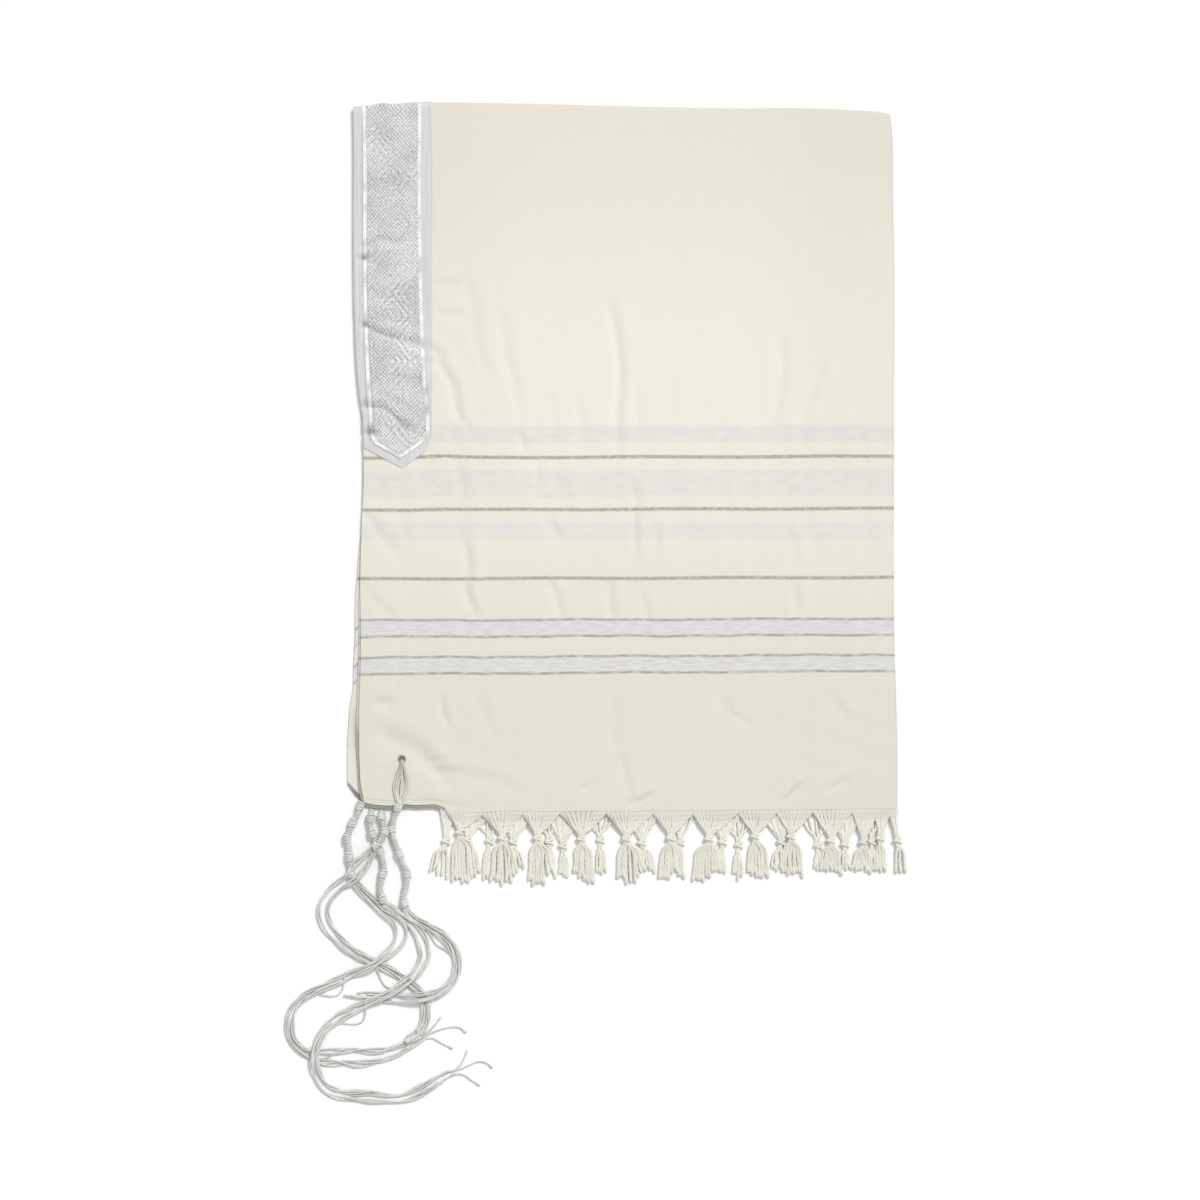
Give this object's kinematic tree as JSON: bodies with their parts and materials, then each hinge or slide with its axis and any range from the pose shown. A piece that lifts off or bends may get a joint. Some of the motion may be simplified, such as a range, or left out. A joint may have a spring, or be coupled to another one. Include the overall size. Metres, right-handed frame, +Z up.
{
  "type": "tallit prayer shawl",
  "caption": "Wool prayer shawl folded into quarters and laid flat, with a silver brocade neckband, woven stripes, a knotted fringe and long knotted corner tassels.",
  "frame": {"origin": "centre of the folded shawl and its fringes at the surface they lie on, measured without the loose tzitzit cords", "axes": "+Z up from the surface, through the stack of folded cloth; +Y along the long side, from the fringed ends towards the first fold; +X across, from the neck edge and its band towards the second fold"},
  "size_m": [0.7764, 1.2531, 0.0134],
  "materials": {
    "wool_cloth": "matt woven wool with woven stripes",
    "satin_band": "soft satin weave",
    "silver_brocade": "metallic thread in a small lattice",
    "silver_braid": "glossy metallic thread",
    "fringe_thread": "matt twisted wool",
    "tzitzit_cord": "matt twisted wool"
  },
  "bodies": {
    "root": {"atarah_brocade": "silver_brocade", "atarah_satin_band": "satin_band", "atarah_silver_braid": "silver_braid", "body_cloth_back": "wool_cloth", "body_cloth_front": "wool_cloth", "body_cloth_hidden_layers": "wool_cloth", "eyelet": "fringe_thread", "fringe_front": "fringe_thread", "fringe_under": "fringe_thread", "strand_tip_1": "tzitzit_cord", "strand_tip_2": "tzitzit_cord", "strand_tip_3": "tzitzit_cord", "strand_tip_4": "tzitzit_cord", "strand_tip_5": "tzitzit_cord", "strand_tip_6": "tzitzit_cord", "tzitzit_1_stem": "tzitzit_cord", "tzitzit_1_strands": "tzitzit_cord", "tzitzit_2_stem": "tzitzit_cord", "tzitzit_2_strands": "tzitzit_cord", "tzitzit_3_stem": "tzitzit_cord", "tzitzit_3_strands": "tzitzit_cord", "tzitzit_4_loop_left": "tzitzit_cord", "tzitzit_4_loop_right": "tzitzit_cord", "tzitzit_4_stem": "tzitzit_cord", "tzitzit_4_strands": "tzitzit_cord"}
  },
  "joints": []
}
